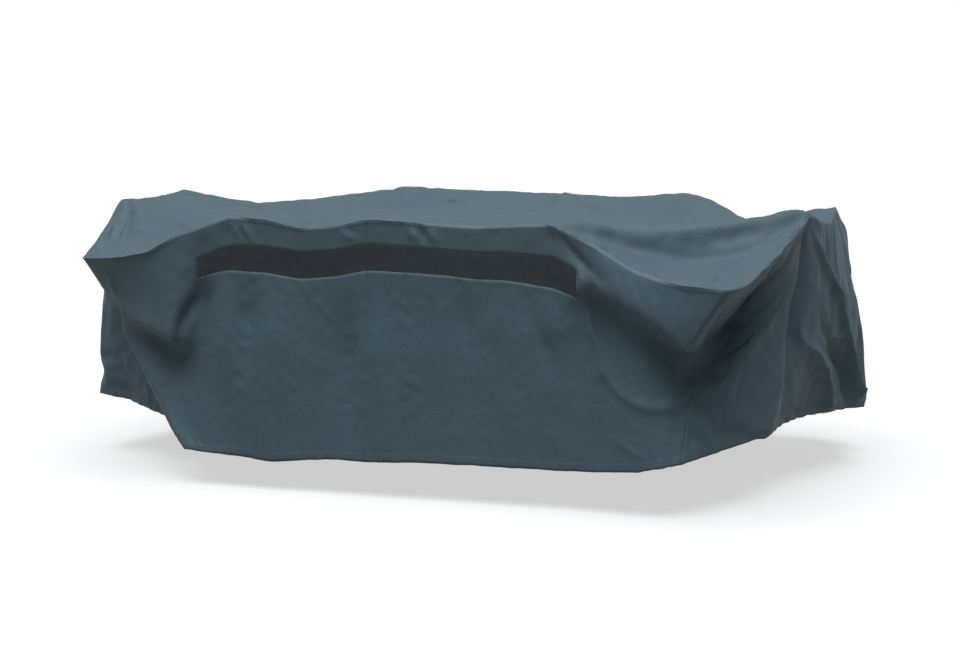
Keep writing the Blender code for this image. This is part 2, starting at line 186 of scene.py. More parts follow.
# Broad ridges and troughs of the top panel, from one plan point to another.
Fold = namedtuple("Fold", "name x0 y0 x1 y1 rise width")
TOP_FOLDS = table(
    Fold,
    ("crest over the right pouch", 0.56, -0.76, 1.22, -0.28, 0.035, 0.1),
    ("swale beyond it", 0.72, -0.8, 1.22, -0.46, -0.03, 0.11),
    ("crest over the left flap", -0.56, -0.76, -1.22, -0.3, 0.02, 0.09),
    ("crest over the far right pouch", 0.56, 0.75, 1.12, 0.32, 0.042, 0.1),
    ("crest over the far left pouch", -0.6, 0.68, -1.04, 0.39, 0.074, 0.14),
    ("line from the first post to the table", -0.55, -0.7, -0.36, -0.3, 0.01, 0.06),
    ("line from the fourth post to the table", 0.55, -0.7, 0.34, -0.28, 0.01, 0.06),
)

# Creases laid on the settled cloth. rises are the height at the start, middle and end, below zero
# for a trough, widths the spread at the start and end, and lean how much steeper the right-hand
# side is than the left, looking along the crease from outside. On the skirts a path is (metres
# round the cover from the front left corner, metres below the top seam); on the top it is x, y.
Crease = namedtuple("Crease", "name rises widths lean path")
SKIRT_CREASES = table(
    Crease,
    ("left flap edge", (0.0052, 0.013, 0.0052), (0.03, 0.022), 0.7,
     ((0.142, 0.119), (0.197, 0.186), (0.262, 0.234), (0.324, 0.287), (0.385, 0.353))),
    ("front fold under the flap", (0, 0.012, 0.006), (0.03, 0.022), 0.5,
     ((0.13, 0.24), (0.13, 0.4), (0.15, 0.58), (0.185, 0.78))),
    ("valley beside the flap", (-0.004, -0.016, -0.008), (0.02, 0.018), 0.3,
     ((0.467, 0.187), (0.45, 0.237), (0.419, 0.289), (0.4, 0.344), (0.375, 0.4))),
    ("second valley beside the flap", (-0.003, -0.007, 0), (0.028, 0.024), 0,
     ((0.516, 0.19), (0.481, 0.253), (0.445, 0.357))),
    ("lit band beside the valley", (0, 0.006, 0), (0.03, 0.04), 0,
     ((0.56, 0.2), (0.54, 0.36), (0.52, 0.6))),
    ("left band", (-0.0034, -0.0119, 0), (0.03, 0.045), 0,
     ((0.619, 0.19), (0.624, 0.268), (0.613, 0.384), (0.6, 0.56))),
    ("beside the left band", (0, 0.0064, 0), (0.04, 0.06), 0,
     ((0.71, 0.2), (0.7, 0.38), (0.7, 0.6))),
    ("first post, left", (-0.002, -0.006, -0.001), (0.01, 0.016), 0,
     ((0.551, 0.004), (0.548, 0.047), (0.54, 0.12))),
    ("first post, ridge", (0.002, 0.007, 0.001), (0.009, 0.012), 0,
     ((0.562, 0.006), (0.578, 0.046), (0.602, 0.095))),
    ("first post, between", (-0.001, -0.004, 0), (0.008, 0.012), 0,
     ((0.575, 0.008), (0.6, 0.046), (0.626, 0.09))),
    ("first post, second ridge", (0.002, 0.006, 0.001), (0.009, 0.013), 0,
     ((0.586, 0.011), (0.618, 0.047), (0.65, 0.088))),
    ("left of the seam", (0, -0.0128, -0.0048), (0.03, 0.04), -0.3,
     ((0.97, 0.217), (0.965, 0.344), (0.972, 0.508), (0.99, 0.69))),
    ("right of the seam", (0, 0.008, 0.0032), (0.04, 0.05), 0,
     ((1.075, 0.22), (1.08, 0.42), (1.09, 0.68))),
    ("rail fold", (0.001, 0.005, 0), (0.01, 0.012), 0.4,
     ((0.93, 0.009), (0.954, 0.039), (1.009, 0.065))),
    ("yoke fold", (0.002, 0.006, 0.001), (0.009, 0.012), 0,
     ((1.167, 0.006), (1.192, 0.039), (1.216, 0.072))),
    ("second yoke fold", (0.001, 0.005, 0.001), (0.009, 0.012), 0,
     ((1.243, 0.009), (1.26, 0.037), (1.28, 0.066))),
    ("between the yoke folds", (-0.001, -0.005, -0.001), (0.012, 0.016), 0,
     ((1.212, 0.01), (1.228, 0.038), (1.25, 0.066))),
    ("fourth post, left", (-0.002, -0.005, -0.001), (0.009, 0.014), 0,
     ((1.66, 0.007), (1.663, 0.04), (1.668, 0.09))),
    ("fourth post, right", (-0.004, -0.01, -0.004), (0.012, 0.022), -0.4,
     ((1.683, 0.01), (1.728, 0.045), (1.795, 0.075), (1.854, 0.092))),
    ("below the vent", (-0.0014, -0.007, 0), (0.022, 0.04), 0,
     ((1.342, 0.173), (1.363, 0.262), (1.377, 0.358), (1.392, 0.446))),
    ("below the vent, lit", (0, 0.005, 0), (0.02, 0.03), 0,
     ((1.493, 0.2), (1.479, 0.299), (1.466, 0.374))),
    ("right front valley", (-0.0015, -0.0105, 0), (0.03, 0.045), 0,
     ((1.57, 0.215), (1.608, 0.333), (1.639, 0.425), (1.662, 0.52))),
    ("edge of the pouch hollow", (0.003, 0.009, 0.005), (0.015, 0.014), -0.6,
     ((1.767, 0.092), (1.787, 0.199), (1.806, 0.291), (1.83, 0.357), (1.836, 0.423))),
    ("pouch lip, left", (0.001, 0.0065, 0.0055), (0.02, 0.022), 0.5,
     ((1.829, 0.089), (1.87, 0.15), (1.917, 0.213), (1.984, 0.24), (2.06, 0.222),
     (2.13, 0.212))),
    ("valley beside the pouch", (-0.006, -0.016, -0.006), (0.022, 0.032), 0,
     ((2.48, 0.045), (2.43, 0.12), (2.4, 0.2), (2.38, 0.27), (2.32, 0.33),
     (2.22, 0.365))),
    ("bottom of the hollow", (0.004, 0.0055, 0.004), (0.016, 0.022), 0.5,
     ((1.836, 0.415), (1.885, 0.457), (1.962, 0.481), (2.06, 0.521), (2.23, 0.541),
     (2.408, 0.524), (2.531, 0.47))),
    ("near post ridge", (0.0048, 0.0168, 0.0048), (0.016, 0.06), 0,
     ((2.487, 0.006), (2.507, 0.091), (2.523, 0.197), (2.541, 0.294), (2.541, 0.424),
     (2.484, 0.509), (2.388, 0.599), (2.282, 0.646))),
    ("valley below the near post", (-0.0039, -0.0156, -0.0078), (0.01, 0.035), 0.2,
     ((2.512, 0.011), (2.585, 0.153), (2.636, 0.268), (2.681, 0.363), (2.721, 0.504),
     (2.8, 0.64))),
    ("long end ridge", (0.0042, 0.014, 0.0168), (0.008, 0.022), 0,
     ((2.551, 0.014), (2.655, 0.065), (2.761, 0.122), (2.955, 0.216), (3.1, 0.377),
     (3.19, 0.504), (3.26, 0.64))),
    ("short end ridge", (0, 0.0168, 0.0112), (0.016, 0.024), 0,
     ((2.7, 0.35), (2.78, 0.401), (2.89, 0.427), (2.998, 0.486), (3.057, 0.549),
     (3.103, 0.64))),
    ("end valley", (0, -0.0156, -0.0104), (0.018, 0.024), 0,
     ((2.775, 0.27), (2.985, 0.4), (3.15, 0.53), (3.2, 0.65))),
    ("end tuck", (-0.002, -0.007, -0.001), (0.012, 0.016), 0.3,
     ((2.818, 0.012), (2.847, 0.08), (2.855, 0.158))),
    ("second end tuck", (-0.002, -0.006, -0.001), (0.012, 0.016), 0,
     ((3.021, 0.03), (3.048, 0.139), (3.048, 0.24))),
    ("dent", (0, -0.004, 0), (0.007, 0.007), 0,
     ((2.527, 0.299), (2.572, 0.318), (2.611, 0.327))),
    ("low crease", (0, 0.003, 0), (0.01, 0.012), 0.4,
     ((1.835, 0.616), (1.919, 0.621), (2.008, 0.643))),
    ("long faint crease", (0, 0.0015, 0), (0.01, 0.01), 0.3,
     ((0.7, 0.367), (0.899, 0.464), (1.095, 0.535))),
    ("short faint crease", (0, 0.002, 0), (0.009, 0.009), 0.3,
     ((0.8, 0.201), (0.869, 0.26), (0.93, 0.323))),
    ("back post, right", (0.002, 0.007, 0.001), (0.01, 0.016), 0,
     ((4.84, 0.006), (4.82, 0.06), (4.78, 0.13))),
    ("back post, left", (0.002, 0.007, 0.001), (0.01, 0.016), 0,
     ((5.94, 0.006), (5.97, 0.06), (6.01, 0.13))),
    ("fold to the back right pouch", (0.004, 0.013, 0.006), (0.016, 0.028), -0.3,
     ((4.82, 0.02), (4.66, 0.12), (4.48, 0.2))),
    ("fold to the back left pouch", (0.004, 0.013, 0.006), (0.016, 0.028), 0.3,
     ((5.97, 0.02), (6.12, 0.12), (6.3, 0.2))),
    ("first back band", (0, -0.01, -0.003), (0.03, 0.045), 0,
     ((5.02, 0.1), (5.03, 0.3), (5, 0.62))),
    ("second back band", (0, 0.008, 0.002), (0.04, 0.05), 0,
     ((5.2, 0.08), (5.18, 0.3), (5.2, 0.6))),
    ("third back band", (0, -0.01, -0.003), (0.03, 0.045), 0.2,
     ((5.45, 0.1), (5.47, 0.34), (5.44, 0.66))),
    ("fourth back band", (0, -0.009, -0.003), (0.03, 0.05), -0.2,
     ((5.78, 0.1), (5.75, 0.36), (5.79, 0.66))),
    ("hollow below the back post", (-0.004, -0.013, -0.005), (0.024, 0.034), 0,
     ((5.96, 0.16), (6.03, 0.3), (6.05, 0.5))),
)
TOP_CREASES = table(
    Crease,
    ("near left crest", (0.004, 0.016, 0.004), (0.016, 0.02), 0.5,
     ((-1.235, -0.27), (-1.123, -0.429), (-1.067, -0.623))),
    ("left long crease", (0.004, 0.014, 0.004), (0.012, 0.016), 0.4,
     ((-1.188, -0.227), (-0.943, -0.368), (-0.7, -0.62))),
    ("left fold", (0.0064, 0.016, 0.0048), (0.025, 0.03), -0.4,
     ((-1.223, -0.262), (-1.163, -0.415), (-1.156, -0.518), (-1.152, -0.66))),
    ("left dimple", (0, -0.006, 0), (0.03, 0.03), 0,
     ((-1.116, -0.421), (-1.032, -0.475), (-0.95, -0.536))),
    ("second post line", (0, 0.009, 0), (0.014, 0.018), 0,
     ((-0.54, -0.74), (-0.46, -0.4), (-0.4, 0.05))),
    ("middle line", (0, 0.011, 0), (0.012, 0.014), 0.4,
     ((-0.369, 0.568), (-0.278, 0.525), (-0.182, 0.461))),
    ("far rail, left line", (0.002, 0.011, 0.003), (0.014, 0.02), 0.4,
     ((0.075, 0.752), (0.08, 0.6), (0.082, 0.42))),
    ("far rail, right line", (0.002, 0.011, 0.003), (0.014, 0.02), -0.4,
     ((0.095, 0.742), (0.279, 0.5), (0.47, 0.218))),
    ("crest over the pouch", (0.005, 0.027, 0.014), (0.032, 0.04), 0.6,
     ((0.58, -0.775), (0.64, -0.725), (0.8, -0.585), (0.944, -0.482), (1.053, -0.435),
     (1.158, -0.37), (1.219, -0.291))),
    ("valley over the pouch", (-0.004, -0.017, -0.01), (0.024, 0.03), -0.3,
     ((0.66, -0.745), (0.803, -0.637), (0.889, -0.591), (0.975, -0.549), (1.095, -0.505),
     (1.158, -0.457), (1.229, -0.342))),
    ("lit ridge", (0, 0.014, 0.01), (0.014, 0.016), 0.3,
     ((1.095, -0.697), (1.141, -0.614), (1.205, -0.496), (1.24, -0.375))),
    ("pucker by the corner", (0, -0.01, -0.005), (0.007, 0.008), 0,
     ((1.085, -0.885), (1.072, -0.787), (1.069, -0.695))),
    ("second pucker", (0, 0.01, 0), (0.007, 0.008), 0,
     ((1.055, -0.7), (1.067, -0.74), (1.112, -0.799))),
    ("third pucker", (-0.005, -0.01, 0), (0.007, 0.008), 0,
     ((0.885, -0.86), (0.87, -0.8), (0.855, -0.74))),
    ("fourth pucker", (0.005, 0.01, 0), (0.007, 0.008), 0,
     ((0.91, -0.865), (0.895, -0.81), (0.875, -0.75))),
)


# --- Curves ------------------------------------------------------------------------------------
def smooth_curve(points, closed=False, crisp=0.0):
    """A function of t, from 0 to the last point's number, that passes softly through points.

    crisp, from 0 to 1, is how much of it is the straight line between them."""
    points = np.asarray(points, float)
    count = len(points)

    def point(index):
        if closed:
            return points[index % count]
        if index < 0:
            return 2 * points[0] - points[1]
        if index >= count:
            return 2 * points[-1] - points[-2]
        return points[index]

    def at(t):
        start = int(math.floor(t))
        if not closed:
            start = min(max(start, 0), count - 2)
        here = t - start
        p0, p1, p2, p3 = (point(start + offset) for offset in (-1, 0, 1, 2))
        k1 = max(np.linalg.norm(p1 - p0), 1e-6) ** 0.5
        k2 = max(np.linalg.norm(p2 - p1), 1e-6) ** 0.5
        k3 = max(np.linalg.norm(p3 - p2), 1e-6) ** 0.5
        leave = ((p1 - p0) / k1 - (p2 - p0) / (k1 + k2) + (p2 - p1) / k2) * k2
        arrive = ((p2 - p1) / k2 - (p3 - p1) / (k2 + k3) + (p3 - p2) / k3) * k2
        square, cube = here * here, here**3
        soft = (
            (2 * cube - 3 * square + 1) * p1
            + (cube - 2 * square + here) * leave
            + (3 * square - 2 * cube) * p2
            + (cube - square) * arrive
        )
        return crisp * (p1 + (p2 - p1) * here) + (1 - crisp) * soft

    return at


def by_length(curve, last, down, rows):
    """Points on the curve at these lengths from its start, then at even steps to its end."""
    fine = np.array([curve(last * i / PROFILE_STEPS) for i in range(PROFILE_STEPS + 1)])
    walked = np.concatenate([[0], np.cumsum(np.linalg.norm(np.diff(fine, axis=0), axis=1))])
    below = down[-1] + (walked[-1] - down[-1]) * np.arange(1, rows + 1) / rows
    wanted = np.concatenate([down, below])
    points = [[np.interp(s, walked, fine[:, axis]) for axis in range(3)] for s in wanted]
    return np.array(points), wanted


def near_segment(points, start, end):
    """(distance from each point to the segment, place along it from 0 to 1)."""
    run = np.subtract(end, start)
    along = np.clip((points - start) @ run / (run @ run), 0, 1)
    return np.linalg.norm(points - start - along[:, None] * run, axis=1), along


# --- The whole cover as one sheet --------------------------------------------------------------
def even_places(middle, first, last, count=None):
    """Places on the ring from first to last, evenly spaced along the cloth; last is left out."""
    fine = np.linspace(first, last, RING_STEPS * max(1, round(last - first)) + 1)
    points = np.array([middle(t) for t in fine])
    walked = np.concatenate([[0], np.cumsum(np.linalg.norm(np.diff(points, axis=0), axis=1))])
    count = count or max(1, round(walked[-1] / PITCH))
    return np.interp(walked[-1] * np.arange(count) / count, walked, fine)


def number_of(name):
    """The place on the ring of the front section with this name."""
    return next(i for i, section in enumerate(FRONT) if section.name == name)


VENT_ENDS = (number_of("left valley") - 0.25, number_of("pouch start") - 0.38)  # on the ring
FULL_SAG = 0.35  # how far in from the seam the top panel has sunk by all of SAG
FULL_RISE = 0.06  # how far in from the seam its folds reach their height
FOLD_TAPER = (0.12, 0.76)  # where a fold starts on half a sine wave, and how much of it it takes


class Sheet:
    """The cover before it is cut: numbered points, and where each lies in the cloth."""

    def __init__(self):
        ring = list(FRONT) + list(RIGHT) + list(reversed(BACK)) + list(reversed(LEFT))
        parts = ("seam", "lip", "tuck", "hem")
        paths = [[getattr(section, part) for section in ring] for part in parts]
        self.curves = [smooth_curve(path, True, CRISP) for path in paths]
        middle = smooth_curve([np.add(section.seam, section.hem) / 2 for section in ring], True)
        stops = [0, VENT_ENDS[0], number_of("panel seam"), VENT_ENDS[1]]
        corner = len(FRONT) - 1
        runs = [even_places(middle, a, b) for a, b in zip(stops, stops[1:] + [corner])]
        ends = np.cumsum([len(run) for run in runs])
        self.vent_left, self.seam_column, self.vent_right, self.wide = ends
        corners = [corner, len(FRONT) + len(RIGHT), len(ring) - len(LEFT) - 1, len(ring)]
        runs.append(even_places(middle, corners[0], corners[1]))
        self.deep = len(runs[-1])
        runs.append(even_places(middle, corners[1], corners[2], self.wide))
        runs.append(even_places(middle, corners[2], corners[3], self.deep))
        self.columns = 2 * (self.wide + self.deep)
        self.rows = 2 * BAND_STEPS + LOWER_ROWS + 1
        band = self.skirts(np.concatenate(runs))
        top = self.top(band)
        self.number_top(band, top)
        self.points[:, 2] -= BEARING_HEIGHT
        self.along = self.place_along()

    def skirts(self, places):
        """The skirts' points, row by row from the seam; down is how far down the cloth each is."""
        vent = [v.x for v in VENT]
        columns, downs = [], []
        for place in places:
            seam, lip, tuck, hem = (curve(place) for curve in self.curves)
            knee = tuck * KNEE[0] + hem * KNEE[1]
            yoke = np.interp(seam[0], vent, [v.yoke for v in VENT])
            height = np.interp(seam[0], vent, [v.height for v in VENT])
            even = np.arange(BAND_STEPS + 1) / BAND_STEPS
            down = np.concatenate([yoke * even, yoke + height * even[1:]])
            profile = smooth_curve([seam, lip, tuck, knee, hem], False, CRISP / 2)
            points, down = by_length(profile, 4, down, LOWER_ROWS)
            columns.append(points)
            downs.append(down)
        self.down = np.array(downs).T
        return np.array(columns).transpose(1, 0, 2)

    def top(self, band):
        """The top panel's points: a grid spanned by its four seams, with folds and a sag."""
        wide, deep, seam = self.wide, self.deep, band[0]
        front, right = seam[: wide + 1], seam[wide : wide + deep + 1]
        back = seam[wide + deep : 2 * wide + deep + 1][::-1]
        left = np.concatenate([seam[2 * wide + deep :], seam[:1]])[::-1]
        u, v = np.meshgrid(np.linspace(0, 1, wide + 1), np.linspace(0, 1, deep + 1))
        u, v = u[..., None], v[..., None]
        grid = (1 - v) * front[None] + v * back[None] + (1 - u) * left[:, None] + u * right[:, None]
        west, east = ((1 - v) * front[end] + v * back[end] for end in (0, -1))
        grid -= (1 - u) * west + u * east
        plan = grid[..., :2].reshape(-1, 2)
        gap = np.linalg.norm(plan[:, None] - seam[None, :, :2], axis=2)
        nearest = gap.min(axis=1)
        weight = 1 / np.maximum(gap, 1e-4) ** 3
        level = (weight @ seam[:, 2]) / weight.sum(axis=1)
        rise = np.zeros(len(plan))
        for fold in TOP_FOLDS:
            across, along = near_segment(plan, (fold.x0, fold.y0), (fold.x1, fold.y1))
            taper = np.sin(math.pi * (FOLD_TAPER[0] + FOLD_TAPER[1] * along))
            rise += fold.rise * np.exp(-((across / fold.width) ** 2)) * taper
        inside = np.minimum(1, nearest / FULL_SAG)
        sag = SAG * inside**2 * (3 - 2 * inside)
        height = level + rise * np.minimum(1, nearest / FULL_RISE) - sag
        inner = grid.reshape(-1, 3).copy()
        inner[:, 2] = height
        inner = inner.reshape(grid.shape)
        grid[1:-1, 1:-1] = inner[1:-1, 1:-1]
        return grid

    def number_top(self, band, top):
        """Numbers the top panel's points. Those on its edge are the seam row of the skirts."""
        wide, deep = self.wide, self.deep
        self.top_numbers = np.full((deep + 1, wide + 1), -1)
        self.top_numbers[0] = np.arange(wide + 1)
        self.top_numbers[deep] = (2 * wide + deep - np.arange(wide + 1)) % self.columns
        self.top_numbers[:, wide] = wide + np.arange(deep + 1)
        self.top_numbers[:, 0] = (self.columns - np.arange(deep + 1)) % self.columns
        first = self.rows * self.columns
        count = (deep - 1) * (wide - 1)
        self.top_numbers[1:deep, 1:wide] = first + np.arange(count).reshape(deep - 1, wide - 1)
        self.points = np.concatenate([band.reshape(-1, 3), top[1:-1, 1:-1].reshape(-1, 3)])

    def top_faces(self):
        n = self.top_numbers
        return np.stack([n[:-1, :-1], n[:-1, 1:], n[1:, 1:], n[1:, :-1]], axis=-1).reshape(-1, 4)

    def place_along(self):
        """Length round the cover at each column, on the mean of its first, middle and last row."""
        middle = self.points[: self.rows * self.columns].reshape(self.rows, self.columns, 3)
        middle = (middle[0] + middle[self.rows // 2] + middle[-1]) / 3
        step = np.linalg.norm(np.roll(middle, -1, axis=0) - middle, axis=1)
        return np.concatenate([[0], np.cumsum(step)])


sheet = Sheet()
wide, deep, columns = sheet.wide, sheet.deep, sheet.columns
VENT_TOP, VENT_BOTTOM = BAND_STEPS, 2 * BAND_STEPS

# Panels in the order of their numbers on the whole sheet. width and length are the flat size each
# is cut to, and area what that leaves of cloth: less the vent's window, and the net's strands only.
Panel = namedtuple("Panel", "name node width length area")
PANELS = (
    Panel("top_cloth", "top_panel", 2.41, 1.80, None),
    Panel("front_cloth_left", "front_skirt_left", 1.13, 0.78, 0.83),
    Panel("front_cloth_right", "front_skirt_right", 1.28, 0.78, 0.94),
    Panel("vent_net", "vent_mesh", 1.33, 0.086, 0.062),
    Panel("end_cloth_right", "end_skirt_right", 1.80, 0.78, None),
    Panel("back_cloth", "back_skirt", 2.41, 0.78, None),
    Panel("end_cloth_left", "end_skirt_left", 1.80, 0.78, None),
)
TOP, FRONT_LEFT, FRONT_RIGHT, NET, END_RIGHT, REAR, END_LEFT = range(len(PANELS))


def panel_of(row, column):
    """The panel that a skirt face belongs to, from its row below the seam and its column."""
    if column >= 2 * wide + deep:
        return END_LEFT
    if column >= wide + deep:
        return REAR
    if column >= wide:
        return END_RIGHT
    if VENT_TOP <= row < VENT_BOTTOM and sheet.vent_left <= column < sheet.vent_right:
        return NET
    return FRONT_LEFT if column < sheet.seam_column else FRONT_RIGHT


# --- One mesh of the whole cover, settled, halved and creased -----------------------------------
def in_scene(name, data):
    """A new object with this data, or with what the bmesh holds."""
    if isinstance(data, bmesh.types.BMesh):
        mesh, data = data, bpy.data.meshes.new(name)
        mesh.to_mesh(data)
        mesh.free()
    made = bpy.data.objects.new(name, data)
    bpy.context.scene.collection.objects.link(made)
    return made


def whole_cover():
    """The sheet as one object: its UVs are metres of cloth, its material numbers the panels."""
    mesh = bmesh.new()
    uv = mesh.loops.layers.uv.new("cloth")
    verts = [mesh.verts.new(point) for point in sheet.points]
    for row in range(sheet.rows - 1):
        for column in range(columns):
            up, under, after = row * columns, (row + 1) * columns, (column + 1) % columns
            numbers = (up + column, under + column, under + after, up + after)
            made = mesh.faces.new([verts[n] for n in numbers])
            made.material_index = panel_of(row, column)
            places = ((0, column), (1, column), (1, column + 1), (0, column + 1))
            for loop, (lower, at) in zip(made.loops, places):
                loop[uv].uv = sheet.along[at], -sheet.down[row + lower, at % columns]
    sharp = mesh.edges.layers.float.new("crease_edge")
    for column in range(columns):
        mesh.edges.get((verts[column], verts[(column + 1) % columns]))[sharp] = SEWN
    for numbers in sheet.top_faces():
        made = mesh.faces.new([verts[n] for n in numbers])
        made.material_index = TOP
        for loop in made.loops:
            loop[uv].uv = loop.vert.co.xy
    for face in mesh.faces:
        face.smooth = True
    cover = in_scene("cover", mesh)
    for _ in PANELS:
        cover.data.materials.append(None)
    return cover


def applied(piece):
    """Replaces the piece's mesh by what its modifiers make of it."""
    graph = bpy.context.evaluated_depsgraph_get()
    data = bpy.data.meshes.new_from_object(
        piece.evaluated_get(graph), preserve_all_data_layers=True, depsgraph=graph
    )
    piece.modifiers.clear()
    piece.data = data


SETTLE_FRAMES = 14
SETTLE_REACH = 0.022  # the most that settling may move a point
GRAVITY = 0.35  # part of the weight that acts while it settles
HEM_ROWS = 2  # rows at the bottom that are held as the hem
HOLD = {"seam": 0.92, "top": 0.42, "front": 0.70, "skirt": 0.22, "hem": 0.50}  # how firmly held
SETTLING = {
    "quality": 6,
    "mass": 0.3,
    "tension_stiffness": 25,
    "compression_stiffness": 25,
    "shear_stiffness": 12,
    "bending_stiffness": 0.05,
    "air_damping": 3,
    "vertex_group_mass": "hold",
    "pin_stiffness": 1.0,
    "shrink_min": -0.035,  # below zero the cloth is larger than the shape, so it buckles
}


def settle(cover):
    """Lets the cloth buckle and hang: it is a little larger than the shape it is held to."""
    group = cover.vertex_groups.new(name="hold")
    for number in range(len(sheet.points)):
        row = number // columns
        if row == 0:
            kind = "seam"
        elif row >= sheet.rows:
            kind = "top"
        elif row >= sheet.rows - HEM_ROWS:
            kind = "hem"
        else:
            kind = "front" if number % columns < wide else "skirt"
        group.add([number], HOLD[kind], "REPLACE")
    cloth = cover.modifiers.new("settle", "CLOTH")
    for name, value in SETTLING.items():
        setattr(cloth.settings, name, value)
    cloth.collision_settings.use_collision = False
    cloth.settings.effector_weights.gravity = GRAVITY
    cloth.point_cache.frame_start, cloth.point_cache.frame_end = 1, SETTLE_FRAMES
    for frame_number in range(1, SETTLE_FRAMES + 1):
        bpy.context.scene.frame_set(frame_number)
    applied(cover)
    bpy.context.scene.frame_set(1)
    cover.vertex_groups.clear()
    shift = read(cover.data.vertices, "co", 3) - sheet.points
    length = np.linalg.norm(shift, axis=1)
    shift *= (SETTLE_REACH * np.tanh(length / SETTLE_REACH) / np.maximum(length, 1e-9))[:, None]
    cover.data.vertices.foreach_set("co", (sheet.points + shift).ravel())
    cover.data.update()


def halve(piece):
    """One subdivision, kept in the mesh."""
    smooth = piece.modifiers.new("halve", "SUBSURF")
    smooth.levels = smooth.render_levels = 1
    smooth.uv_smooth = "NONE"
    smooth.boundary_smooth = "PRESERVE_CORNERS"
    applied(piece)


def read(items, name, width=1, kind=float):
    """An array of what the items hold under this name."""
    values = np.empty(len(items) * width, kind)
    items.foreach_get(name, values)
    return values.reshape(-1, width) if width > 1 else values


class Cloth:
    """The vertices of the fine mesh as arrays: where each is, and its place in the cloth."""

    def __init__(self, data):
        self.points = read(data.vertices, "co", 3)
        self.normals = read(data.vertex_normals, "vector", 3)
        corner = read(data.loops, "vertex_index", kind=int)
        uv = read(data.uv_layers["cloth"].uv, "vector", 2)
        panel = np.repeat(read(data.polygons, "material_index", kind=int), 4)
        count = len(data.vertices)
        self.place = np.zeros((count, 2))
        self.on_top = np.zeros(count, bool)
        self.on_skirt = np.zeros(count, bool)
        self.on_top[corner[panel == TOP]] = True
        skirt = panel != TOP
        self.on_skirt[corner[skirt]] = True
        self.place[corner[skirt]] = uv[skirt] * (1, -1)
        edge = self.points[self.on_top & self.on_skirt]
        self.to_seam = np.where(self.on_skirt, self.place[:, 1], 0.0)
        inner = self.on_top & ~self.on_skirt
        self.to_seam[inner] = nearest_distance(self.points[inner, :2], edge[:, :2])


def nearest_distance(points, others, batch=2000):
    """Distance from each point to the nearest of the others, a batch of points at a time."""
    out = np.empty(len(points))
    for start in range(0, len(points), batch):
        apart = points[start : start + batch, None] - others[None]
        out[start : start + batch] = np.linalg.norm(apart, axis=2).min(axis=1)
    return out


CREASE_GAIN = 1.8  # how strongly the creases are pressed in
CREASE_SHAPE = 1.35  # 2 makes a crease a rounded bell, and less makes its top sharper
CREASE_STEPS = 24  # places along a crease between two points of its path
CREASE_REACH = 3.2  # how far out it is drawn, in widths
LEAN = 0.6  # part of the width that a lean of 1 takes from one side and gives to the other
FADE = 0.02  # how far from the top seam a crease has its full height


def crease_height(points, places, tree, crease, turn):
    """How far the crease moves each of these vertices along its normal."""
    curve = smooth_curve(crease.path)
    steps = CREASE_STEPS * (len(crease.path) - 1)
    line = np.array([curve(i / CREASE_STEPS) for i in range(steps + 1)])
    track = []
    for place in line:
        found = tree.find_n((place[0], place[1], 0), 4)
        weight = np.array([1 / (distance + 1e-4) ** 2 for _, _, distance in found])
        track.append(weight @ points[[number for _, number, _ in found]] / weight.sum())
    track = np.array(track)
    reach = CREASE_REACH * max(crease.widths)
    near = np.nonzero(
        (points > track.min(axis=0) - reach).all(axis=1)
        & (points < track.max(axis=0) + reach).all(axis=1)
        & (places > line.min(axis=0) - 4 * reach).all(axis=1)
        & (places < line.max(axis=0) + 4 * reach).all(axis=1)
    )[0]
    apart = np.linalg.norm(points[near][:, None] - track[None], axis=2)
    closest = apart.argmin(axis=1)
    along = closest / steps
    width = crease.widths[0] + (crease.widths[1] - crease.widths[0]) * along
    run = np.gradient(line, axis=0)[closest]
    offset = places[near] - line[closest]
    right = (run[:, 0] * offset[:, 1] - run[:, 1] * offset[:, 0]) * turn > 0
    width = width * np.where(right, 1 - LEAN * crease.lean, 1 + LEAN * crease.lean)
    rise = np.interp(along, (0, 0.5, 1), crease.rises)
    out = np.zeros(len(points))
    out[near] = CREASE_GAIN * rise * np.exp(-((apart.min(axis=1) / width) ** CREASE_SHAPE))
    return out


def lay_creases(cloth, creases, members, places, turn):
    """Adds the creases to the cloth. turn is 1 where the second place grows downwards, else -1."""
    tree = KDTree(len(places))
    for number, place in enumerate(places):
        tree.insert((place[0], place[1], 0), number)
    tree.balance()
    total = np.zeros(len(members))
    for crease in creases:
        total += crease_height(cloth.points[members], places, tree, crease, turn)
    fade = np.clip(cloth.to_seam[members] / FADE, 0, 1)
    cloth.points[members] += (total * fade)[:, None] * cloth.normals[members]


# Puckers: how many there are to a metre, how far they move the cloth, where their noise is read.
Pucker = namedtuple("Pucker", "per_metre move x z")
PUCKERS = (
    Pucker(5.5, 0.0050, 5, 0),
    Pucker(12, 0.0028, 0, 3),
    Pucker(27, 0.0012, 0, 11),
)
CREST = 0.35  # noise below which a pucker stands proud
SKIRT_HEIGHT = 0.5  # how much less often puckers change down a skirt than across it
SWAY = 0.0120  # how far broad upright bands move the skirts


def crinkle(cloth):
    """Small uneven puckers over all of the cloth, longer down the skirts than across them."""
    for number in range(len(cloth.points)):
        x, y, z = cloth.points[number]
        skirt = cloth.on_skirt[number] and not cloth.on_top[number]
        tall = SKIRT_HEIGHT if skirt else 1.0
        move = SWAY * noise.noise(Vector((x * 4.3, y * 4.3, z * 1.0 + 7))) * skirt
        for kind in PUCKERS:
            scale = kind.per_metre
            place = Vector((x * scale + kind.x, y * scale, z * scale * tall + kind.z))
            move += kind.move * (CREST - abs(noise.noise(place)))
        cloth.points[number] += move * cloth.normals[number]


